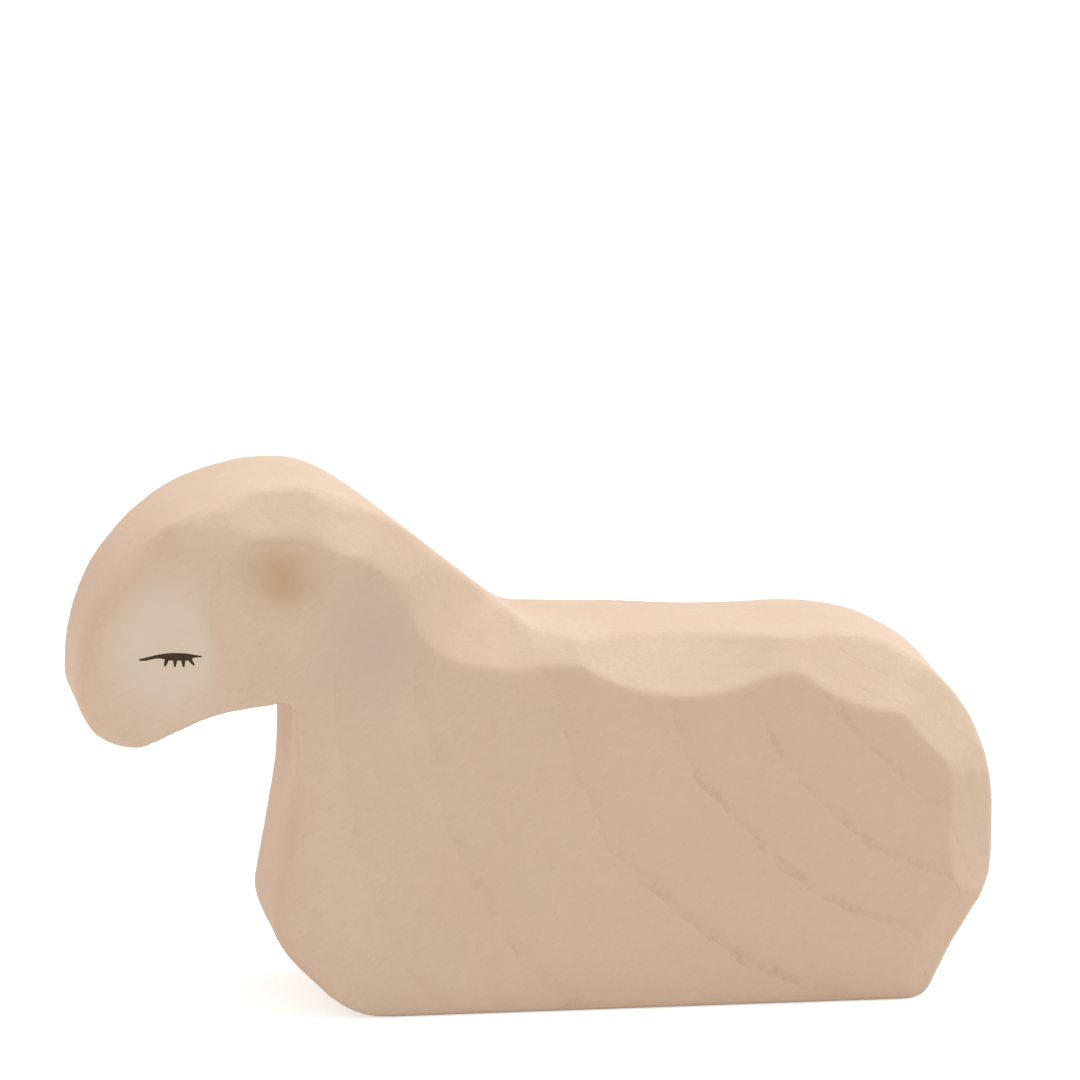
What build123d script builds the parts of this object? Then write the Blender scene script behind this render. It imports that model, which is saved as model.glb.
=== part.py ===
from build123d import *
import os
from math import cos, radians, sin, tan

# A lying sheep, sawn from one plank of pale wood, carved along its edges and painted with two closed eyes.
# Millimetres, +Z up. The nose points to -X and the rump to +X, and the sheep's left side faces -Y.
# The origin is on the ground, under the middle of the plank.

# The plank
LENGTH = 92.0
HEIGHT = 53.5
THICKNESS = 22.0
EDGE_BREAK = 0.8
ROUNDED_SHARE = 0.99

# Outline of the head: distances from the nose tip, heights above the ground
FOREHEAD_RADIUS = 20.5
CROWN_RADIUS = 8.8
LIP_HEIGHT = 29.8
LIP_RADIUS = 5.0
CHIN_FROM_NOSE = 4.6
CHIN_HEIGHT = 26.7
CHIN_RADIUS = 4.6
JAW_FROM_NOSE = 13.5
JAW_HEIGHT = 31.1
JAW_RADIUS = 14.0
THROAT_FROM_NOSE = 21.5
THROAT_HEIGHT = 32.3
THROAT_RADIUS = 0.9

# Outline of the neck, back and rump
BACK_HEIGHT = 38.0
RUMP_HEIGHT = 36.8
NAPE_SLOPE = 39.0
NAPE_FOOT_FROM_NOSE = 44.0
NAPE_FOOT_RADIUS = 5.0
RUMP_RADIUS = 17.6
HOCK_HEIGHT = 12.4
HOCK_RADIUS = 7.0
HIND_FOOT_FROM_RUMP = 7.0
HIND_FOOT_RADIUS = 2.0

# Outline of the chest
CHEST_HEIGHT = 23.0
CHEST_RADIUS = 24.0
BREAST_FROM_NOSE = 18.6
BREAST_HEIGHT = 6.9
BREAST_RADIUS = 5.5
FRONT_FOOT_FROM_NOSE = 27.8
FRONT_FOOT_RADIUS = 8.0

# Hollows that a drum leaves along the upper edges: how far each reaches over the sawn edge (inset)
# and down the side (drop), and the drum's radius
FOREHEAD_CUT_ANGLE = 130.0
FOREHEAD_CUT_INSET = 1.8
FOREHEAD_CUT_DROP = 3.0
FOREHEAD_CUT_RADIUS = 60.0
CROWN_CUT_FROM_NOSE = 21.8
CROWN_CUT_TILT = 6.0
CROWN_CUT_INSET = 3.4
CROWN_CUT_DROP = 5.6
CROWN_CUT_RADIUS = 60.0
POLL_CUT_UP_SLOPE = 17.5
POLL_CUT_INSET = 2.6
POLL_CUT_DROP = 3.0
POLL_CUT_RADIUS = 30.0
NAPE_CUT_UP_SLOPE = 6.2
NAPE_CUT_INSET = 5.2
NAPE_CUT_DROP = 7.0
NAPE_CUT_RADIUS = 14.6
BACK_CUT_FROM_RUMP = 31.4
BACK_CUT_INSET = 5.2
BACK_CUT_DROP = 5.8
BACK_CUT_RADIUS = 27.0
LOIN_CUT_ANGLE = 72.0
LOIN_CUT_INSET = 5.0
LOIN_CUT_DROP = 6.4
LOIN_CUT_RADIUS = 26.0
RUMP_CUT_ANGLE = 40.0
RUMP_CUT_INSET = 4.4
RUMP_CUT_DROP = 5.5
RUMP_CUT_RADIUS = 50.0
TAIL_CUT_HEIGHT = 17.5
TAIL_CUT_INSET = 3.4
TAIL_CUT_DROP = 5.2
TAIL_CUT_RADIUS = 40.0
HOCK_CUT_DOWN_SLOPE = 8.0
HOCK_CUT_INSET = 2.4
HOCK_CUT_DROP = 4.2
HOCK_CUT_RADIUS = 24.0
NOSE_CUT_ANGLE = 170.0
NOSE_CUT_INSET = 1.6
NOSE_CUT_DROP = 1.8
NOSE_CUT_RADIUS = 40.0

# The right side's cuts are lighter: their share of the left side's reach over the edge,
# and the place of the one on the back
RIGHT_INSET_SHARE = 0.45
RIGHT_BACK_CUT_FROM_RUMP = 28.0

# Flat cheeks: a line on the side where each starts, the way that line runs, and the taper
FACE_FROM_NOSE = 12.8
FACE_HEIGHT = 42.9
FACE_LINE_ANGLE = -67.0
FACE_TAPER = 10.0
JOWL_FROM_NOSE = 17.7
JOWL_HEIGHT = 37.6
JOWL_LINE_ANGLE = -28.0
JOWL_TAPER = 6.5

# Shallow hollow across the neck
NECK_FROM_NOSE = 26.0
NECK_HEIGHT = 35.2
NECK_ANGLE = 20.0
NECK_DEPTH = 0.5
NECK_RADIUS = 110.0

# Ear: a short gouge stroke
EAR_FROM_NOSE = 20.4
EAR_HEIGHT = 45.4
EAR_LENGTH = 11.0
EAR_WIDTH = 7.6
EAR_DEPTH = 1.2
EAR_OVERRUN = 2.0

# Closed eye, painted on the flat cheek
EYE_FROM_NOSE = 9.3
EYE_HEIGHT = 37.2
EYE_LENGTH = 6.4
EYE_BOW = 0.4
LID_WIDTH = 0.95
LID_SWELL_TO_TAIL = 0.6
LASH_COUNT = 4
LASH_LENGTH = 1.25
LASH_WIDTH = 0.36
LASH_FAN = 74.0
LASH_SPREAD = 2.4
LASHES_TO_TAIL = 0.8
PAINT_FILM = 0.1

# Derived places
NOSE_X = -LENGTH / 2
RUMP_X = LENGTH / 2
SIDE_Y = -THICKNESS / 2
REACH = 2 * LENGTH


def outline_corners():
    """Corners of the side outline and the radius that rounds each, from the hind to the front foot."""
    nape_foot_x = NOSE_X + NAPE_FOOT_FROM_NOSE
    crown_x = nape_foot_x - (HEIGHT - BACK_HEIGHT) / tan(radians(NAPE_SLOPE))
    throat_x = NOSE_X + THROAT_FROM_NOSE
    return {
        "hind foot": (Vector(RUMP_X - HIND_FOOT_FROM_RUMP, 0), HIND_FOOT_RADIUS),
        "hock": (Vector(RUMP_X, HOCK_HEIGHT), HOCK_RADIUS),
        "rump": (Vector(RUMP_X, RUMP_HEIGHT), RUMP_RADIUS),
        "nape foot": (Vector(nape_foot_x, BACK_HEIGHT), NAPE_FOOT_RADIUS),
        "crown": (Vector(crown_x, HEIGHT), CROWN_RADIUS),
        "forehead": (Vector(NOSE_X, HEIGHT), FOREHEAD_RADIUS),
        "lip": (Vector(NOSE_X, LIP_HEIGHT), LIP_RADIUS),
        "chin": (Vector(NOSE_X + CHIN_FROM_NOSE, CHIN_HEIGHT), CHIN_RADIUS),
        "jaw": (Vector(NOSE_X + JAW_FROM_NOSE, JAW_HEIGHT), JAW_RADIUS),
        "throat": (Vector(throat_x, THROAT_HEIGHT), THROAT_RADIUS),
        "chest": (Vector(throat_x, CHEST_HEIGHT), CHEST_RADIUS),
        "breast": (Vector(NOSE_X + BREAST_FROM_NOSE, BREAST_HEIGHT), BREAST_RADIUS),
        "front foot": (Vector(NOSE_X + FRONT_FOOT_FROM_NOSE, 0), FRONT_FOOT_RADIUS),
    }


def rounded_corners():
    """Each corner's point with the centre and radius of its arc.

    Where two neighbouring roundings would run into each other, both are eased to share the side between them.
    """
    corners = outline_corners()
    points = [point for point, _ in corners.values()]
    radii = [radius for _, radius in corners.values()]
    count = len(points)
    sides = [points[(i + 1) % count] - points[i] for i in range(count)]
    turns = [radians(sides[i - 1].get_angle(sides[i])) for i in range(count)]
    reach = [radius * tan(turn / 2) for radius, turn in zip(radii, turns)]
    ease = [1.0] * count
    for i, side in enumerate(sides):
        follow = (i + 1) % count
        share = ROUNDED_SHARE * side.length / (reach[i] + reach[follow])
        ease[i] = min(ease[i], share)
        ease[follow] = min(ease[follow], share)
    rounded = {}
    for i, name in enumerate(corners):
        radius = radii[i] * ease[i]
        inward = (sides[i].normalized() - sides[i - 1].normalized()).normalized()
        rounded[name] = (points[i], points[i] + inward * (radius / cos(turns[i] / 2)), radius)
    return rounded


def plank():
    """The sawn blank, with its edges broken all round."""
    corners = rounded_corners().values()
    line = FilletPolyline(*[p for p, _, _ in corners], radius=[r for _, _, r in corners], close=True)
    blank = extrude(Plane.XZ * make_face(line), THICKNESS / 2, both=True)
    sides = blank.faces().filter_by(Axis.Y)
    return fillet(sides.edges(), EDGE_BREAK)


def edge_cut(place, outward, inset, drop, radius):
    """A drum laid on the left edge of the outline at one place, where the outline faces the angle outward."""
    facing = Vector(cos(radians(outward)), 0, sin(radians(outward)))
    corner = Vector(place.X, SIDE_Y, place.Y)
    over_edge = corner + Vector(0, inset, 0)
    down_side = corner - facing * drop
    outside = (facing * inset - Vector(0, drop, 0)).normalized()
    middle = (over_edge + down_side) / 2 + outside * radius
    return Plane(middle, z_dir=over_edge - down_side) * Cylinder(radius, 2 * THICKNESS)


def edge_cuts(inset_share, back_from_rump):
    """The drum's hollows along the left edge, from the nose over the back to the hock."""
    corners = rounded_corners()

    def on_arc(name, angle):
        _, centre, radius = corners[name]
        return centre + Vector(cos(radians(angle)), sin(radians(angle))) * radius

    def on_line(start, end, distance):
        a, b = corners[start][0], corners[end][0]
        return a + (b - a).normalized() * distance

    crown = Vector(NOSE_X + CROWN_CUT_FROM_NOSE, HEIGHT)
    poll = on_line("nape foot", "crown", POLL_CUT_UP_SLOPE)
    nape = on_line("nape foot", "crown", NAPE_CUT_UP_SLOPE)
    nape_outward = 90 - NAPE_SLOPE
    back = on_line("rump", "nape foot", back_from_rump)
    tail = Vector(RUMP_X, TAIL_CUT_HEIGHT)
    hock = on_line("hock", "hind foot", HOCK_CUT_DOWN_SLOPE)
    hock_slope = Vector(HIND_FOOT_FROM_RUMP, HOCK_HEIGHT).get_angle(Vector(1, 0))
    nose = on_arc("forehead", NOSE_CUT_ANGLE)
    forehead = on_arc("forehead", FOREHEAD_CUT_ANGLE)
    loin = on_arc("rump", LOIN_CUT_ANGLE)
    rump = on_arc("rump", RUMP_CUT_ANGLE)
    cuts = [
        (nose, NOSE_CUT_ANGLE, NOSE_CUT_INSET, NOSE_CUT_DROP, NOSE_CUT_RADIUS),
        (forehead, FOREHEAD_CUT_ANGLE, FOREHEAD_CUT_INSET, FOREHEAD_CUT_DROP, FOREHEAD_CUT_RADIUS),
        (crown, 90 - CROWN_CUT_TILT, CROWN_CUT_INSET, CROWN_CUT_DROP, CROWN_CUT_RADIUS),
        (poll, nape_outward, POLL_CUT_INSET, POLL_CUT_DROP, POLL_CUT_RADIUS),
        (nape, nape_outward, NAPE_CUT_INSET, NAPE_CUT_DROP, NAPE_CUT_RADIUS),
        (back, 90, BACK_CUT_INSET, BACK_CUT_DROP, BACK_CUT_RADIUS),
        (loin, LOIN_CUT_ANGLE, LOIN_CUT_INSET, LOIN_CUT_DROP, LOIN_CUT_RADIUS),
        (rump, RUMP_CUT_ANGLE, RUMP_CUT_INSET, RUMP_CUT_DROP, RUMP_CUT_RADIUS),
        (tail, 0, TAIL_CUT_INSET, TAIL_CUT_DROP, TAIL_CUT_RADIUS),
        (hock, hock_slope - 90, HOCK_CUT_INSET, HOCK_CUT_DROP, HOCK_CUT_RADIUS),
    ]
    return [
        edge_cut(place, outward, inset * inset_share, drop, radius)
        for place, outward, inset, drop, radius in cuts
    ]


def cheek_plane(from_nose, height, line_angle, taper):
    """A flat cut that starts at a line on the left side and deepens towards the nose, facing out."""
    along = Vector(cos(radians(line_angle)), 0, sin(radians(line_angle)))
    forward = Vector(sin(radians(line_angle)), 0, -cos(radians(line_angle)))
    into_wood = forward * cos(radians(taper)) + Vector(0, sin(radians(taper)), 0)
    return Plane((NOSE_X + from_nose, SIDE_Y, height), x_dir=along, z_dir=into_wood.cross(along))


def face_plane():
    """The cut that carries the eye."""
    return cheek_plane(FACE_FROM_NOSE, FACE_HEIGHT, FACE_LINE_ANGLE, FACE_TAPER)


def cheek_cuts():
    """The two flat cuts of the left cheek, which stop at the throat."""
    jowl = cheek_plane(JOWL_FROM_NOSE, JOWL_HEIGHT, JOWL_LINE_ANGLE, JOWL_TAPER)
    before_throat = Pos(NOSE_X + THROAT_FROM_NOSE, 0, CHIN_HEIGHT) * Box(
        REACH, REACH, REACH, align=(Align.MAX, Align.CENTER, Align.MIN)
    )
    outside = Box(REACH, REACH, REACH, align=(Align.CENTER, Align.CENTER, Align.MIN))
    return [(plane * outside) & before_throat for plane in (face_plane(), jowl)]


def neck_hollow():
    """A wide drum laid across the left side of the neck."""
    centre = Vector(NOSE_X + NECK_FROM_NOSE, SIDE_Y + NECK_DEPTH - NECK_RADIUS, NECK_HEIGHT)
    across = Vector(cos(radians(NECK_ANGLE)), 0, sin(radians(NECK_ANGLE)))
    return Plane(centre, z_dir=across) * Cylinder(NECK_RADIUS, REACH)


def ear_gouge():
    """A barrel that leaves an oval hollow, with its long way level."""
    sweep = (EAR_LENGTH**2 / 4 + EAR_DEPTH**2) / (2 * EAR_DEPTH)
    belly = (EAR_WIDTH**2 / 4 + EAR_DEPTH**2) / (2 * EAR_DEPTH)
    end = EAR_LENGTH / 2 + EAR_OVERRUN
    end_radius = belly - (sweep - (sweep**2 - end**2) ** 0.5)
    arc = ThreePointArc((-end, end_radius), (0, belly), (end, end_radius))
    half = make_face([arc, Polyline((end, end_radius), (end, 0), (-end, 0), (-end, end_radius))])
    axis_at = Pos(NOSE_X + EAR_FROM_NOSE, SIDE_Y + EAR_DEPTH - belly, EAR_HEIGHT)
    return axis_at * revolve(half, Axis.X)


def carved_body():
    """The whole figure in wood. The right side is carved like the left, but lighter."""
    shared = [*cheek_cuts(), neck_hollow(), ear_gouge()]
    left = [*edge_cuts(1, BACK_CUT_FROM_RUMP), *shared]
    right = [*edge_cuts(RIGHT_INSET_SHARE, RIGHT_BACK_CUT_FROM_RUMP), *shared]
    return plank() - left - [mirror(cut, Plane.XZ) for cut in right]


def eye_plane():
    """On the left cheek at the middle of the eye, its X level towards the tail and its Z out of the wood."""
    cheek = face_plane()
    out = cheek.z_dir
    x, z = NOSE_X + EYE_FROM_NOSE, EYE_HEIGHT
    y = cheek.origin.Y - (out.X * (x - cheek.origin.X) + out.Z * (z - cheek.origin.Z)) / out.Y
    return Plane((x, y, z), x_dir=Vector(0, 0, 1).cross(out), z_dir=out)


def lid_outline():
    """A brush stroke that starts fine at the inner corner, swells behind its middle and ends in a point."""
    inner = (-EYE_LENGTH / 2, -EYE_BOW)
    tail = (EYE_LENGTH / 2, 0)
    edges = [Spline(inner, (LID_SWELL_TO_TAIL, side * LID_WIDTH / 2), tail) for side in (1, -1)]
    return make_face(edges)


def lash_outlines():
    """Short strokes that fan out under the lid's swell."""
    lashes = []
    for i in range(LASH_COUNT):
        share = i / (LASH_COUNT - 1) - 0.5
        stroke = Polyline(
            (-LASH_WIDTH / 2, 0),
            (LASH_WIDTH / 2, 0),
            (LASH_WIDTH / 4, -LASH_LENGTH),
            (-LASH_WIDTH / 4, -LASH_LENGTH),
            close=True,
        )
        root = Pos(LASHES_TO_TAIL + share * LASH_SPREAD, 0) * Rot(0, 0, share * LASH_FAN)
        lashes.append(root * make_face(stroke))
    return lashes


def painted_eye():
    """The left lid stroke and the lashes below it, as films of paint on the cheek."""
    lid = lid_outline()
    lashes = [lash - lid for lash in lash_outlines()]
    place = eye_plane()
    return (
        extrude(place * lid, PAINT_FILM, dir=place.z_dir),
        [extrude(place * lash, PAINT_FILM, dir=place.z_dir) for lash in lashes],
    )


def write(name, shape):
    """One named piece to its own file."""
    export_step(shape, f"parts/{name}.step")


os.makedirs("parts", exist_ok=True)
write("carved_body", carved_body())
lid, lashes = painted_eye()
write("left_eyelid", lid)
write("left_eyelashes", Compound(lashes))
write("right_eyelid", mirror(lid, Plane.XZ))
write("right_eyelashes", Compound([mirror(lash, Plane.XZ) for lash in lashes]))
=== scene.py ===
import math

import bpy
import numpy as np
from mathutils import Matrix, Vector, noise


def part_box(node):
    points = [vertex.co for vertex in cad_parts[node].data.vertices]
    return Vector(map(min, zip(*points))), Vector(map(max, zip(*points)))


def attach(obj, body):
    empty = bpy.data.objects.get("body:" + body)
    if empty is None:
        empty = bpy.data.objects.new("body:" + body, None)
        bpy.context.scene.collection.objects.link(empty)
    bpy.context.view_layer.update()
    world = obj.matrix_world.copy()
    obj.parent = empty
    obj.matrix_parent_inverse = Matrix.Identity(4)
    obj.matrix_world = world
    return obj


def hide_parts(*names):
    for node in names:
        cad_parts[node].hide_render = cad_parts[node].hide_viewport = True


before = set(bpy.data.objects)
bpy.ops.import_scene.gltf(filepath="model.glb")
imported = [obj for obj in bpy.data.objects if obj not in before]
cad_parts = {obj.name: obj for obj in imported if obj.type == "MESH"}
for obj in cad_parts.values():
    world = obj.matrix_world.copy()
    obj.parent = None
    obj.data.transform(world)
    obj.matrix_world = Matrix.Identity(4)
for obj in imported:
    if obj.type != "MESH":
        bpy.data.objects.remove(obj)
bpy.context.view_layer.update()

# Sizes are in millimetres and angles in degrees, but the lamps and the floor are in metres.
# MM turns a size to the scene's metres
MM = 0.001

# Where things are on the figure, from the solid's own box: the nose is its low X end
BODY_LOW, BODY_HIGH = (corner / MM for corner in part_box("carved_body"))
NOSE_X = BODY_LOW.x
HALF_THICKNESS = BODY_HIGH.y

# Sanding: the mesh's grid and the rounds of softening. All arrises are eased a little. The lip and the
# crests between cuts are rounded along the outline, by the grid's edges that run less than a share of
# their length across the plank. On the left, the front of head and chest is rounded all ways. Each
# place: from the nose, height and reach. A share of the reach is rounded in full
GRID = 0.4
ARRIS_ROUNDS = 5
CREST_ROUNDS = 90
LEVEL_EDGE = 0.4
CRESTS = {
    "lip": (2.2, 28.2, 4.2),
    "nose to forehead": (7.0, 47.6, 5.0),
    "forehead to crown": (13.2, 50.6, 5.0),
    "crown to poll": (26.4, 50.6, 5.0),
    "poll to nape": (31.8, 46.6, 5.0),
    "loin to rump": (82.0, 33.0, 3.0),
    "rump to tail": (90.5, 24.0, 4.0),
}
ROUND_ROUNDS = 220
ROUND_PLACES = {
    "nose": (0.5, 36.0, 7.0),
    "brow": (2.6, 43.5, 8.0),
    "forehead": (5.4, 47.0, 5.0),
    "breast": (18.8, 21.0, 6.0),
    "chest": (17.2, 13.5, 6.0),
    "foot": (19.8, 6.5, 6.0),
}
PLACE_FULL = 1 / 3

# A bowed sanding pad rubs the humps that are left between the cuts. Each hump: its lowest arris from the
# nose and in height, the way it faces, the pad's bow and its reach. The pad leans less on the right (1)
# than on the left (-1), because its cuts are lighter, and presses in full over a share of its reach
HUMPS = {
    "poll": (28.4, 46.4, 70.0, 30.0, 6.0),
    "nape": (33.2, 42.2, 38.0, 16.0, 6.5),
    "withers": (48.4, 35.0, 92.0, 36.0, 7.5),
    "croup": (71.8, 33.9, 86.0, 14.0, 6.0),
    "rump": (83.1, 29.0, 62.0, 10.0, 4.0),
}
PAD_LEANS = {-1: 39.0, 1: 20.0}
PAD_FULL = 0.5

# The nape's top leans to the right, so its left edge hides it: its middle from the nose and in height and
# the way it faces, its reach along the slope, the share of that which leans in full, its depth, and how
# much higher the left side is
NAPE = (37.0, 43.7, 51.0)
NAPE_REACH = 14.0
NAPE_FULL = 0.5
NAPE_DEPTH = 7.0
NAPE_LEAN = 1.75

# Hand-carved unevenness: its length, its depth, the share of that which comes off where the wave is
# level, and how far from the eyes and above the foot it starts and is whole
WAVE_SIZE = 11.0
WAVE_DEPTH = 0.12
WAVE_LEVEL = 0.5
CALM_ROUND_EYES = (4.0, 12.0)
CALM_FOOT = (2.5, 5.0)

# The tree that the plank came from: its pith runs far behind the figure, and the fibres run along it. The
# radii of the rings whose lines show on the left side, the widths of the years inside and outside them,
# and the range of radii that covers the figure
PITH_POINT = Vector((33.4, 141.8, 33.9))
FIBRE_RISE = 31.6
FIBRE_DIVE = 12.9
SEEN_RINGS = (150.0, 151.6, 153.4, 155.9, 159.1, 161.2)
INNER_RING_WIDTH = 1.9
OUTER_RING_WIDTH = 2.4
RING_RANGE = (118.0, 178.0)

# How far a ring line strays and over what length, in small and in large
WANDER = 0.36
WANDER_SIZE = 2.0
DRIFT = 0.6
DRIFT_SIZE = 16.0

# A ring line as a share of a year's growth and the share of it that is full, the shade that leads up to
# it and when in the year that starts. Two noises break the line: the size of each with the share of the
# line that it leaves, and the levels of noise between which the line comes in
RING_LINE = 0.16
RING_LINE_FULL = 1 / 3
RING_SHADE = 0.14
RING_SHADE_FROM = 0.45
RING_BREAKS = ((3.0, 0.15), (0.7, 0.3))
BREAK_LEVELS = (0.42, 0.62)

# Fibres, pores and mottle. Maple's own fibres and pores are a few hundredths of a millimetre wide, too
# fine for the render, and are drawn as coarse as they need to show. The nap is what the sanding left
# standing, and the pores are sunk in it by a share of its depth
FIBRE_LENGTH = 5.0
FIBRE_WIDTH = 0.3
PORE_LENGTH = 1.0
PORE_WIDTH = 0.12
MOTTLE_SIZE = 8.0
NAP_DEPTH = 0.02
PORE_SINK = -0.5

# Wood colours, and how much of each shows. Mottle, fibres and pores have the levels of noise between
# which they come in, and the most that shows. Ring lines have shares for the rear and the front, and less
# of that on cuts
FRONT_WOOD = "#e2c8ae"
REAR_WOOD = "#e0c1a5"
# Paler tone of the cuts: partly carved wood, partly painted sheen where light washes the cut faces
CUT_WOOD_AND_SHEEN = "#e6d0ba"
END_GRAIN = "#e4bfa3"
PINK_WOOD = "#e0c0a9"
FIBRE_COLOUR = "#d4b291"
RING_COLOUR = "#a97b57"
MOTTLE_SHOWN = (0.35, 0.65, 0.6)
FIBRES_SHOWN = (0.35, 0.7, 0.16)
PORES_SHOWN = (0.62, 0.74, 0.1)
CUT_SHEEN_SHARE = 0.58
END_SHARE = 0.6
RING_SHARE = 0.22
FRONT_RING_SHARE = 0.08
CUT_RING_SHARE = 0.35

# How far a face turns sideways from a cut to the sawn side, and to the front from long grain to end grain
SIDE_FACING = (0.75, 0.96)
END_FACING = (-0.2, -0.9)

# Borders on the side: where the rear's tone and the cuts' paler tone with its painted sheen come in, and
# where the glaze ends. Each: a point from the nose and in height, the way to the side that has the tone,
# and the border's width. All borders stray, and the last two values say how far and over what length
REAR_WOOD_FROM = (46.0, 19.0, 0.0, 50.0)
CUT_SHEEN_FROM = (34.0, 45.0, 0.0, 14.0)
GLAZE_END = (13.3, 38.8, 188.0, 2.2)
BORDER_STRAY = 1.4
BORDER_WAVE = 3.0

# The face's pale glaze, which ends at the border behind the eye. Its oval: the middle from the nose and
# in height, half its length and height, and the share of it that fades
GLAZE = "#ead6be"
GLAZE_SHARE = 0.75
GLAZE_OVAL = (8.7, 38.2, 9.0, 10.2, 0.75)

# Stains and painted shade, each an oval like the glaze's, its share and its colour: a weak wide one in the
# ear that is stain and painted shade on the hollow's upper wall, a strong small stain in the ear, and
# painted shade in the hollow of the neck. All ovals are so deep that they go through the figure
STAINS_AND_SHADE = {
    # partly ochre stain, partly painted shade on the upper wall of the ear's hollow
    "ear_stain_and_shade": ((20.2, 45.0, 6.0, 5.2, 0.7), 0.3, "#c7a673"),
    "core": ((20.5, 44.8, 2.6, 4.0, 1.0), 0.36, "#c79a55"),
    # painted shade: the neck's hollow drawn darker where it falls in shade
    "neck": ((29.0, 38.7, 9.0, 10.5, 1.0), 0.6, "#d3b7a1"),
}
OVAL_DEPTH = 1e9

# Finish of the wood: sanded long grain shines a little more than end grain, and it is rougher where its
# fibres stand up. The levels are those of the fibres' noise
WOOD_IOR = 1.45
GLOSS = 0.5
END_GLOSS = 0.1
ROUGHNESS = (0.52, 0.66)
ROUGH_LEVELS = (0.3, 0.7)

# Eye paint: its two tones, the size of a dry spot and the levels of noise between which it comes in, the
# finish, and the height and share of the ridges that the brush left
PAINT = "#3a2d1d"
THIN_PAINT = "#4b3b27"
BRUSH_STREAK = 0.5
DRY_LEVELS = (0.4, 0.7)
PAINT_ROUGHNESS = 0.7
PAINT_GLOSS = 0.2
BRUSH_RIDGE = 0.02
BRUSH_RIDGE_SHARE = 0.6

# Eye strokes in the cheek's plane. The lid's stroke has points, each with its way to the tail, its height
# and the stroke's width there. A lash has its root on the lid, its lean, and widths at stops along its
# length. The build is the paint's thickness as a share of the stroke's width. Roundness and steps say how
# finely a stroke is drawn. The film's faces that turn sideways by more than the last value give the
# cheek's plane
LID_STROKE = (
    (-3.05, -0.32, 0.2), (-2.4, -0.24, 0.32), (-1.6, -0.04, 0.34), (-0.9, 0.05, 0.46), (-0.1, 0.02, 0.74),
    (0.95, 0.01, 0.78), (1.75, 0.01, 0.7), (2.25, 0.08, 0.36), (3.1, 0.06, 0.14),
)
LASH_ROOTS = (-0.25, 0.5, 1.25, 1.75)
LASH_LEANS = (-18.0, -4.0, 3.0, 35.0)
LASH_LENGTH = 1.02
LASH_STOPS = (0, 0.6, 1)
LASH_WIDTHS = (0.42, 0.34, 0.18)
PAINT_BUILD = 0.16
STROKE_ROUNDNESS = 5
STROKE_STEPS = 10
FILM_FRONT = 0.5

# The photograph's view: the camera's turn, rise and distance from a point in the figure's middle, its
# lens and sensor, the nearest and the farthest that it sees, and how far it aims to the right of that
# point and above it
VIEW_POINT = Vector((0, 0, 26.0))
CAMERA_TURN = -7.5
CAMERA_RISE = 13.0
CAMERA_DISTANCE = 700.0
CAMERA_LENS = 232.4
CAMERA_SENSOR = 36.0
CAMERA_NEAR = 10.0
CAMERA_FAR = 100000.0
AIM_RIGHT = 1.18
AIM_UP = 19.52

# Light, in metres and watts: the strength of the room's even light, and each lamp's way to the rump,
# behind the figure and up, its width and its power. The floor's lift is the glow that makes the lit sheet
# white to the eye
ROOM_LIGHT = 0.565
LAMPS = {
    "overhead": (0.8, 0.1, 1.85, 1.2, 24.2),
    "window": (-1.7, -0.6, 0.4, 0.6, 3.6),
}
WHITE = "#ffffff"
FLOOR = "#eeeeee"
FLOOR_ROUGHNESS = 0.9
FLOOR_LIFT = 0.6
FLOOR_SIZE = 8.0

scene = bpy.context.scene


def linear(hex_colour):
    """An sRGB hex colour as linear red, green, blue and alpha."""
    parts = [int(hex_colour[i:i + 2], 16) / 255 for i in (1, 3, 5)]
    return tuple(c / 12.92 if c <= 0.04045 else ((c + 0.055) / 1.055) ** 2.4 for c in parts) + (1.0,)


def add(tree, kind, inputs=None, **settings):
    """One shader node: an input given as a node or socket is linked, and any other value is set."""
    made = tree.nodes.new("ShaderNode" + kind)
    for name, value in settings.items():
        setattr(made, name, value)
    for key, value in (inputs or {}).items():
        if isinstance(value, bpy.types.Node):
            value = value.outputs[0]
        if isinstance(value, bpy.types.NodeSocket):
            tree.links.new(value, made.inputs[key])
        else:
            made.inputs[key].default_value = value
    return made


def new_material(name):
    """An empty material with its tree and its main shader."""
    made = bpy.data.materials.new(name)
    made.use_nodes = True
    return made, made.node_tree, made.node_tree.nodes["Principled BSDF"]


def new_piece(name, data):
    """An object in the scene with this mesh, curve, camera or lamp."""
    made = bpy.data.objects.new(name, data)
    scene.collection.objects.link(made)
    return made


def settled(piece):
    """The piece's mesh with its modifiers applied."""
    return bpy.data.meshes.new_from_object(piece.evaluated_get(bpy.context.evaluated_depsgraph_get()))


def rows(collection, field, width, kind=float):
    """One field of a mesh's points, edges or normals as an array with a row for each."""
    values = np.empty(len(collection) * width, kind)
    collection.foreach_get(field, values)
    return values.reshape(-1, width)


def soften(points, edges, rounds, share):
    """In each round every point goes a share of half the way to the middle of its neighbours."""
    neighbours = np.bincount(edges.ravel(), minlength=len(points))[:, None]
    step = np.where(neighbours > 0, share[:, None] / 2, 0)
    for _ in range(rounds):
        total = np.zeros_like(points)
        for a, b in ((0, 1), (1, 0)):
            for axis in range(3):
                total[:, axis] += np.bincount(edges[:, a], points[edges[:, b], axis], len(points))
        points = points + step * (total / neighbours.clip(1) - points)
    return points


def fading(away, reach, full):
    """1 up to a share of the reach, falling evenly from there to 0 at the reach."""
    return np.clip((1 - away / reach) / (1 - full), 0, 1)


def close_to(points, places):
    """1 for points close to one of the places on the outline, falling to 0 at its reach."""
    share = np.zeros(len(points))
    for from_nose, height, reach in places.values():
        away = np.hypot(points[:, 0] - NOSE_X - from_nose, points[:, 2] - height)
        share = np.maximum(share, fading(away, reach, PLACE_FULL))
    return share


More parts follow.
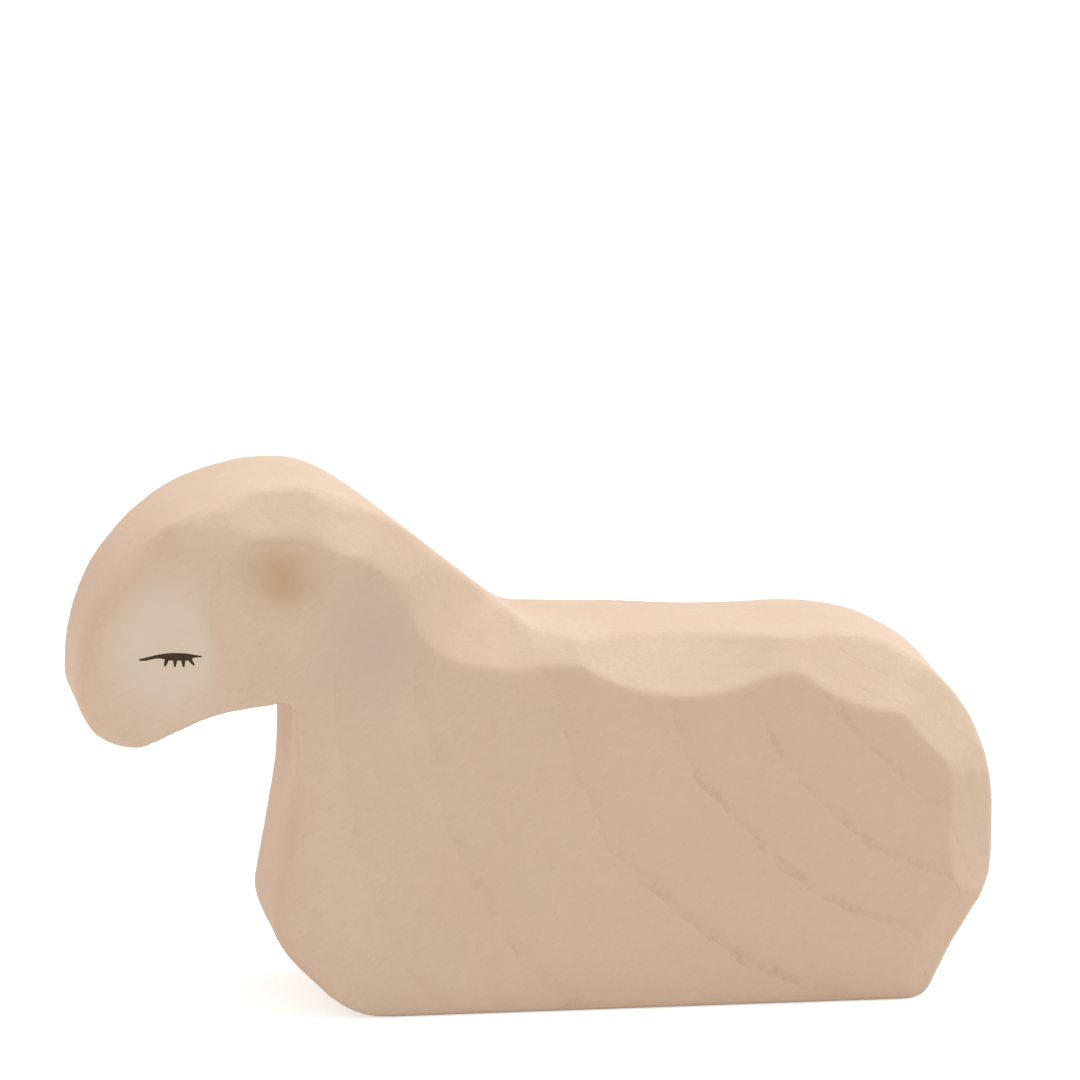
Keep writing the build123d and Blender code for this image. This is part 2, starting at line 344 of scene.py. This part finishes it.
def from_place(points, from_nose, height, facing):
    """How a place on the outline faces, and how far points lie from it that way and along the outline."""
    facing = math.radians(facing)
    away = points - (NOSE_X + from_nose, 0, height)
    outward = np.array((math.cos(facing), 0, math.sin(facing)))
    along = np.array((-math.sin(facing), 0, math.cos(facing)))
    return outward, away @ outward, np.abs(away @ along)


def rubbed(points):
    """The points after the pad has taken off what stands out of its face at each hump."""
    for from_nose, height, facing, bow, reach in HUMPS.values():
        outward, out, along = from_place(points, from_nose, height, facing)
        press = fading(along, reach, PAD_FULL)
        across = points[:, 1]
        for side, lean in PAD_LEANS.items():
            lean = math.radians(lean)
            pad = math.sin(lean) * outward + (0, side * math.cos(lean), 0)
            beside = side * across - HALF_THICKNESS
            proud = math.sin(lean) * out + math.cos(lean) * beside + along ** 2 / (2 * bow)
            points = points - np.outer((press * proud).clip(0), pad)
    return points


def leant(points):
    """The points with the nape's top higher on the left, less with depth and towards the slope's ends."""
    outward, out, along = from_place(points, *NAPE)
    close = fading(along, NAPE_REACH, NAPE_FULL)
    close = close ** 2 * (3 - 2 * close)
    shallow = np.clip(1 + out / NAPE_DEPTH, 0, 1)
    left = np.interp(points[:, 1], (-HALF_THICKNESS, HALF_THICKNESS), (1, 0))
    return points + np.outer(NAPE_LEAN * close * shallow * left, outward)


def sanded(points, edges):
    """The points after the nape's lean and the sanding."""
    points = leant(points)
    run = points[edges[:, 1]] - points[edges[:, 0]]
    level = edges[np.abs(run[:, 1]) < LEVEL_EDGE * np.linalg.norm(run, axis=1)]
    points = soften(points, level, CREST_ROUNDS, close_to(points, CRESTS))
    left = np.interp(points[:, 1], (-HALF_THICKNESS / 2, HALF_THICKNESS / 2), (1, 0))
    points = soften(points, edges, ROUND_ROUNDS, left * close_to(points, ROUND_PLACES))
    return soften(rubbed(points), edges, ARRIS_ROUNDS, np.ones(len(points)))


def uneven(points, normals):
    """The points with the knife's unevenness taken off, but not on the foot or round the eyes."""
    low, high = (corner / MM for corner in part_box("left_eyelid"))
    eye = (low + high) / 2
    from_eye = np.hypot(points[:, 0] - eye.x, points[:, 2] - eye.z)
    free = np.interp(from_eye, CALM_ROUND_EYES, (0, 1)) * np.interp(points[:, 2], CALM_FOOT, (0, 1))
    wave = np.array([noise.noise(Vector(p) / WAVE_SIZE) for p in points])
    return points - normals * (free * WAVE_DEPTH * (WAVE_LEVEL + wave))[:, None].clip(0)


def sanded_body(wood):
    """The carved figure as it comes from the sanding: the solid's surface on a fine even grid, softened."""
    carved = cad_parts["carved_body"]
    body = new_piece("sanded_body", carved.data.copy())
    remesh = body.modifiers.new("even_grid", "REMESH")
    remesh.mode = "VOXEL"
    remesh.voxel_size = GRID * MM
    hug = body.modifiers.new("on_the_cuts", "SHRINKWRAP")
    hug.target = carved
    body.data = settled(body)
    body.modifiers.clear()

    mesh = body.data
    points = sanded(rows(mesh.vertices, "co", 3) / MM, rows(mesh.edges, "vertices", 2, int))
    mesh.vertices.foreach_set("co", (points * MM).ravel())
    mesh.update()
    points = uneven(points, rows(mesh.vertex_normals, "vector", 3))
    mesh.vertices.foreach_set("co", (points * MM).ravel())
    mesh.shade_smooth()
    mesh.materials.clear()
    mesh.materials.append(wood)
    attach(body, "root")
    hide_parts("carved_body")


def fibre_way():
    """The way that the fibres run: up and out to the left, from the chest to the rump."""
    rise, dive = math.radians(FIBRE_RISE), math.radians(FIBRE_DIVE)
    return Vector((math.cos(rise) * math.cos(dive), -math.sin(dive), math.sin(rise) * math.cos(dive)))


def ring_radii():
    """Radii of the growth rings: those seen on the side, with even ones inside and outside them."""
    radii = list(SEEN_RINGS)
    while radii[0] > RING_RANGE[0] + INNER_RING_WIDTH:
        radii.insert(0, radii[0] - INNER_RING_WIDTH)
    while radii[-1] < RING_RANGE[1] - OUTER_RING_WIDTH:
        radii.append(radii[-1] + OUTER_RING_WIDTH)
    return radii


def ring_age(tree, grain):
    """How far a point lies into its year's growth, from 0 at the spring edge to 1 at the autumn line."""
    wander = add(tree, "TexNoise", {"Vector": grain, "Scale": 1 / WANDER_SIZE, "Detail": 2})
    drift = add(tree, "TexNoise", {"Vector": grain, "Scale": 1 / DRIFT_SIZE, "Detail": 1})
    across = add(tree, "VectorMath", {0: grain, 1: (0, 1, 1)}, operation="MULTIPLY")
    radius = add(tree, "VectorMath", {0: across}, operation="LENGTH").outputs["Value"]
    radius = add(tree, "Math", {0: wander, 1: WANDER, 2: radius}, operation="MULTIPLY_ADD")
    radius = add(tree, "Math", {0: drift, 1: DRIFT, 2: radius}, operation="MULTIPLY_ADD")
    radius = add(tree, "Math", {0: radius, 1: (WANDER + DRIFT) / 2}, operation="SUBTRACT")
    share = add(tree, "MapRange", {"Value": radius, "From Min": RING_RANGE[0], "From Max": RING_RANGE[1]})
    radii = ring_radii()
    years = add(tree, "FloatCurve", {"Value": share})
    curve = years.mapping.curves[0]
    span = RING_RANGE[1] - RING_RANGE[0]
    for ring, at in enumerate(radii[1:-1], 1):
        curve.points.new((at - RING_RANGE[0]) / span, ring / len(radii))
    curve.points[0].location = ((radii[0] - RING_RANGE[0]) / span, 0)
    curve.points[-1].location = ((radii[-1] - RING_RANGE[0]) / span, (len(radii) - 1) / len(radii))
    for point in curve.points:
        point.handle_type = "VECTOR"
    years.mapping.update()
    count = add(tree, "Math", {0: years, 1: len(radii)}, operation="MULTIPLY")
    return add(tree, "Math", {0: count}, operation="FRACT")


def ring_lines(tree, grain):
    """The autumn lines, thin and broken, with a faint shade that deepens towards each."""
    age = ring_age(tree, grain)
    shade = add(tree, "MapRange", {"Value": age, "From Min": RING_SHADE_FROM, "To Max": RING_SHADE},
                interpolation_type="SMOOTHSTEP")
    start, full = 1 - RING_LINE, 1 - RING_LINE * RING_LINE_FULL
    line = add(tree, "MapRange", {"Value": age, "From Min": start, "From Max": full},
               interpolation_type="SMOOTHSTEP")
    low, high = BREAK_LEVELS
    for size, left in RING_BREAKS:
        breaks = add(tree, "TexNoise", {"Vector": grain, "Scale": 1 / size, "Detail": 1})
        breaks = add(tree, "MapRange", {"Value": breaks, "From Min": low, "From Max": high, "To Min": left})
        line = add(tree, "Math", {0: line, 1: breaks}, operation="MULTIPLY")
    return add(tree, "Math", {0: line, 1: 1 - RING_SHADE, 2: shade}, operation="MULTIPLY_ADD")


def streaks(tree, grain, length, width, detail):
    """Noise drawn out along the fibres."""
    drawn = add(tree, "VectorMath", {0: grain, 1: (1 / length, 1 / width, 1 / width)}, operation="MULTIPLY")
    return add(tree, "TexNoise", {"Vector": drawn, "Scale": 1, "Detail": detail})


def oval(tree, place, from_nose, height, half_length, half_height, soft):
    """1 inside an oval that goes right through the figure, fading out over its soft rim."""
    centre = Vector((NOSE_X + from_nose, 0, height)) * MM
    size = (half_length * MM, OVAL_DEPTH * MM, half_height * MM)
    spot = add(tree, "Mapping", {"Vector": place, "Location": centre, "Scale": size}, vector_type="TEXTURE")
    away = add(tree, "VectorMath", {0: spot}, operation="LENGTH").outputs["Value"]
    return add(tree, "MapRange", {"Value": away, "From Min": 1, "From Max": 1 - soft},
               interpolation_type="SMOOTHSTEP")


def beyond(tree, place, from_nose, height, angle, soft):
    """1 on the side of a border that the angle points to, 0 on the other, over the border's soft width."""
    facing = Vector((math.cos(math.radians(angle)), 0, math.sin(math.radians(angle))))
    start = facing.dot(Vector((NOSE_X + from_nose, 0, height)))
    reach = add(tree, "VectorMath", {0: place, 1: facing / MM}, operation="DOT_PRODUCT").outputs["Value"]
    stray = add(tree, "TexNoise", {"Vector": place, "Scale": 1 / (BORDER_WAVE * MM), "Detail": 2})
    reach = add(tree, "Math", {0: stray, 1: BORDER_STRAY, 2: reach}, operation="MULTIPLY_ADD")
    reach = add(tree, "Math", {0: reach, 1: BORDER_STRAY / 2}, operation="SUBTRACT")
    low, high = start - soft / 2, start + soft / 2
    return add(tree, "MapRange", {"Value": reach, "From Min": low, "From Max": high},
               interpolation_type="SMOOTHSTEP")


def sanded_maple():
    """Maple, sawn, carved and sanded, without varnish.

    That gives the eye a pale matt skin, thin autumn lines where the side runs out of the rings, short
    fine fibres and a faint mottle. The cuts are paler, partly as carved wood and partly as painted sheen,
    and end grain at the front is pinker and duller. The ear has an ochre stain with painted shade on its
    hollow's upper wall, the neck's hollow has painted shade, and the face a thin pale glaze.
    """
    made, tree, shader = new_material("sanded_maple")
    place = add(tree, "TexCoord").outputs["Object"]
    turn = fibre_way().to_track_quat("X", "Z").to_euler()
    trunk = {"Vector": place, "Location": PITH_POINT * MM, "Rotation": turn, "Scale": (MM,) * 3}
    grain = add(tree, "Mapping", trunk, vector_type="TEXTURE").outputs[0]
    fibres = streaks(tree, grain, FIBRE_LENGTH, FIBRE_WIDTH, 3)
    pores = streaks(tree, grain, PORE_LENGTH, PORE_WIDTH, 1)
    mottle = add(tree, "TexNoise", {"Vector": grain, "Scale": 1 / MOTTLE_SIZE, "Detail": 3})
    patterns = ((mottle, MOTTLE_SHOWN), (fibres, FIBRES_SHOWN), (pores, PORES_SHOWN))
    patch, fine, dots = (
        add(tree, "MapRange", {"Value": pattern, "From Min": low, "From Max": high, "To Max": most})
        for pattern, (low, high, most) in patterns
    )

    facing = add(tree, "SeparateXYZ", {0: add(tree, "TexCoord").outputs["Normal"]})
    sideways = add(tree, "Math", {0: facing.outputs["Y"]}, operation="ABSOLUTE")
    low, high = SIDE_FACING
    flat = add(tree, "MapRange", {"Value": sideways, "From Min": low, "From Max": high})
    low, high = END_FACING
    ends = add(tree, "MapRange", {"Value": facing.outputs["X"], "From Min": low, "From Max": high})
    end_tone = add(tree, "Math", {0: ends, 1: END_SHARE}, operation="MULTIPLY")
    rear = beyond(tree, place, *REAR_WOOD_FROM)
    # Faces that turn away from the sawn side get the paler tone, partly carved wood and partly painted sheen
    carved = add(tree, "MapRange", {"Value": flat, "To Min": CUT_SHEEN_SHARE, "To Max": 0.0})
    carved = add(tree, "Math", {0: carved, 1: beyond(tree, place, *CUT_SHEEN_FROM)}, operation="MULTIPLY")

    shown = add(tree, "MapRange", {"Value": rear, "To Min": FRONT_RING_SHARE, "To Max": RING_SHARE})
    on_side = add(tree, "MapRange", {"Value": flat, "To Min": CUT_RING_SHARE})
    shown = add(tree, "Math", {0: shown, 1: on_side}, operation="MULTIPLY")
    lines = add(tree, "Math", {0: ring_lines(tree, grain), 1: shown}, operation="MULTIPLY")

    face = oval(tree, place, *GLAZE_OVAL)
    for share in (beyond(tree, place, *GLAZE_END), flat, GLAZE_SHARE):
        face = add(tree, "Math", {0: face, 1: share}, operation="MULTIPLY")
    # Stain ovals in the ear, with painted shade over the ear's hollow and over the neck's hollow
    stains_and_shade = [
        (tone, add(tree, "Math", {0: oval(tree, place, *spot), 1: share}, operation="MULTIPLY"))
        for spot, share, tone in STAINS_AND_SHADE.values()
    ]
    layers = (
        (REAR_WOOD, rear), (CUT_WOOD_AND_SHEEN, carved), (END_GRAIN, end_tone), (PINK_WOOD, patch),
        (FIBRE_COLOUR, fine), (RING_COLOUR, dots), (RING_COLOUR, lines), (GLAZE, face), *stains_and_shade,
    )
    colour = linear(FRONT_WOOD)
    for tone, share in layers:
        colour = add(tree, "Mix", {"Factor": share, 6: colour, 7: linear(tone)}, data_type="RGBA").outputs[2]
    tree.links.new(colour, shader.inputs["Base Color"])

    low, high = ROUGH_LEVELS
    least, most = ROUGHNESS
    rough = add(tree, "MapRange", {"Value": fibres, "From Min": low, "From Max": high,
                                   "To Min": least, "To Max": most})
    tree.links.new(rough.outputs[0], shader.inputs["Roughness"])
    gloss = add(tree, "MapRange", {"Value": ends, "To Min": GLOSS, "To Max": END_GLOSS})
    tree.links.new(gloss.outputs[0], shader.inputs["Specular IOR Level"])
    shader.inputs["IOR"].default_value = WOOD_IOR
    nap = add(tree, "Math", {0: pores, 1: PORE_SINK, 2: fibres}, operation="MULTIPLY_ADD")
    bump = add(tree, "Bump", {"Height": nap, "Distance": NAP_DEPTH * MM})
    tree.links.new(bump.outputs[0], shader.inputs["Normal"])
    return made


def brushed_brown_paint():
    """Matt water-based paint from a fine brush: almost black, and browner where the brush ran dry."""
    made, tree, shader = new_material("brushed_brown_paint")
    place = add(tree, "TexCoord").outputs["Object"]
    load = add(tree, "TexNoise", {"Vector": place, "Scale": 1 / (BRUSH_STREAK * MM), "Detail": 2})
    low, high = DRY_LEVELS
    thin = add(tree, "MapRange", {"Value": load, "From Min": low, "From Max": high})
    colour = add(tree, "Mix", {"Factor": thin, 6: linear(PAINT), 7: linear(THIN_PAINT)}, data_type="RGBA")
    tree.links.new(colour.outputs[2], shader.inputs["Base Color"])
    shader.inputs["Roughness"].default_value = PAINT_ROUGHNESS
    shader.inputs["Specular IOR Level"].default_value = PAINT_GLOSS
    bump = add(tree, "Bump", {"Height": load, "Distance": BRUSH_RIDGE * MM, "Strength": BRUSH_RIDGE_SHARE})
    tree.links.new(bump.outputs[0], shader.inputs["Normal"])
    return made


def stroke(curve, points):
    """One brush stroke as a run of points with the stroke's width at each."""
    run = curve.splines.new("BEZIER")
    run.bezier_points.add(len(points) - 1)
    run.radius_interpolation = "CARDINAL"
    for knot, (along, up, width) in zip(run.bezier_points, points):
        knot.co = (along, up, 0)
        knot.radius = width
        knot.handle_left_type = knot.handle_right_type = "AUTO"


def lash_points(root, lean):
    """A lash from the middle of the lid to its tip, straight and tapered."""
    way = Vector((math.sin(math.radians(lean)), -math.cos(math.radians(lean)))) * LASH_LENGTH
    return [(root + way.x * at, way.y * at, width) for at, width in zip(LASH_STOPS, LASH_WIDTHS)]


def eye_place(lid):
    """Where the lid's film lies on its cheek: X level to the tail, Y up the cheek and Z out of the wood."""
    mesh = lid.data
    sideways = Vector((0, math.copysign(1, sum(v.co.y for v in mesh.vertices)), 0))
    front = [face for face in mesh.polygons if face.normal.dot(sideways) > FILM_FRONT]
    out = sum((face.normal * face.area for face in front), Vector()).normalized()
    along = Vector((-out.y, out.x, 0)).normalized()
    along *= math.copysign(1, along.x)
    up = out.cross(along)
    up *= math.copysign(1, up.z)
    ends = sorted(mesh.vertices, key=lambda v: v.co.dot(along))
    middle = (ends[0].co + ends[-1].co).dot(along) / 2
    base = min(v.co.dot(out) for v in mesh.vertices)
    origin = along * middle + up * ends[-1].co.dot(up) + out * base
    return Matrix.Translation(origin) @ Matrix((along, up, out)).transposed().to_4x4()


def painted(name, node, place, strokes, paint):
    """Brush strokes laid on the cheek in place of the film that the solid model has there."""
    curve = bpy.data.curves.new(name, "CURVE")
    curve.dimensions = "3D"
    # Half of a width of 1, so that the radius at a point is the stroke's width there
    curve.bevel_depth = 0.5
    curve.bevel_resolution = STROKE_ROUNDNESS
    curve.resolution_u = STROKE_STEPS
    curve.use_fill_caps = True
    for points in strokes:
        stroke(curve, points)
    drawn = new_piece(name + "_path", curve)
    piece = new_piece(name, settled(drawn))
    bpy.data.objects.remove(drawn)
    mesh = piece.data
    mesh.transform(place @ Matrix.Diagonal((MM, MM, PAINT_BUILD * MM, 1)))
    if place.determinant() < 0:
        mesh.flip_normals()
    mesh.shade_smooth()
    mesh.materials.clear()
    mesh.materials.append(paint)
    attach(piece, "root")
    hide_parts(node)


def eyes(paint):
    """The closed eyes: a lid stroke and four lashes on each cheek."""
    lashes = [lash_points(root, lean) for root, lean in zip(LASH_ROOTS, LASH_LEANS)]
    for side in ("left", "right"):
        place = eye_place(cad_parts[side + "_eyelid"])
        painted(side + "_lid_stroke", side + "_eyelid", place, [LID_STROKE], paint)
        painted(side + "_lash_strokes", side + "_eyelashes", place, lashes, paint)


def camera():
    """The photograph's camera, aimed above the figure so that it lies in the lower half of the frame."""
    turn, rise = math.radians(CAMERA_TURN), math.radians(CAMERA_RISE)
    back = Vector((math.sin(turn) * math.cos(rise), -math.cos(turn) * math.cos(rise), math.sin(rise)))
    right = Vector((math.cos(turn), math.sin(turn), 0))
    up = back.cross(right)
    data = bpy.data.cameras.new("camera")
    data.sensor_width = CAMERA_SENSOR
    data.lens = CAMERA_LENS
    data.clip_start = CAMERA_NEAR * MM
    data.clip_end = CAMERA_FAR * MM
    made = new_piece("camera", data)
    made.location = (VIEW_POINT + back * CAMERA_DISTANCE) * MM
    aim = (VIEW_POINT + right * AIM_RIGHT + up * AIM_UP) * MM
    made.rotation_euler = (aim - made.location).to_track_quat("-Z", "Y").to_euler()
    scene.camera = made


def lamp(name, to_rump, behind, height, width, power):
    """A round soft box that points at the figure."""
    data = bpy.data.lights.new(name, "AREA")
    data.shape = "DISK"
    data.size = width
    data.energy = power
    made = new_piece(name, data)
    made.location = (to_rump, behind, height)
    made.rotation_euler = (-made.location).to_track_quat("-Z", "Y").to_euler()


def seen_white(tree):
    """1 for rays that bring the surroundings to the eye, and 0 for those that light the figure."""
    path = add(tree, "LightPath")
    shown = path.outputs["Is Camera Ray"]
    for ray in ("Is Glossy Ray", "Is Transmission Ray"):
        shown = add(tree, "Math", {0: shown, 1: path.outputs[ray]}, operation="MAXIMUM")
    return shown


def white_room():
    """Even light from all round, which the eye sees as plain white."""
    world = bpy.data.worlds.new("white_room")
    scene.world = world
    world.use_nodes = True
    tree = world.node_tree
    level = add(tree, "MapRange", {"Value": seen_white(tree), "To Min": ROOM_LIGHT, "To Max": 1.0})
    tree.links.new(level.outputs[0], tree.nodes["Background"].inputs["Strength"])
    tree.nodes["Background"].inputs["Color"].default_value = linear(WHITE)


def white_floor():
    """A matt white sheet that keeps the figure's shadow and looks white where nothing shades it."""
    made, tree, shader = new_material("matt_white_sheet")
    shader.inputs["Base Color"].default_value = linear(FLOOR)
    shader.inputs["Roughness"].default_value = FLOOR_ROUGHNESS
    shader.inputs["Specular IOR Level"].default_value = 0.0
    shader.inputs["Emission Color"].default_value = linear(WHITE)
    glow = add(tree, "Math", {0: seen_white(tree), 1: FLOOR_LIFT}, operation="MULTIPLY")
    tree.links.new(glow.outputs[0], shader.inputs["Emission Strength"])
    half = FLOOR_SIZE / 2
    corners = [(-half, -half, 0), (half, -half, 0), (half, half, 0), (-half, half, 0)]
    mesh = bpy.data.meshes.new("floor")
    mesh.from_pydata(corners, [], [(0, 1, 2, 3)])
    mesh.materials.append(made)
    new_piece("floor", mesh)


scene.view_settings.view_transform = "Standard"
camera()
white_room()
white_floor()
for name, settings in LAMPS.items():
    lamp(name, *settings)
sanded_body(sanded_maple())
eyes(brushed_brown_paint())
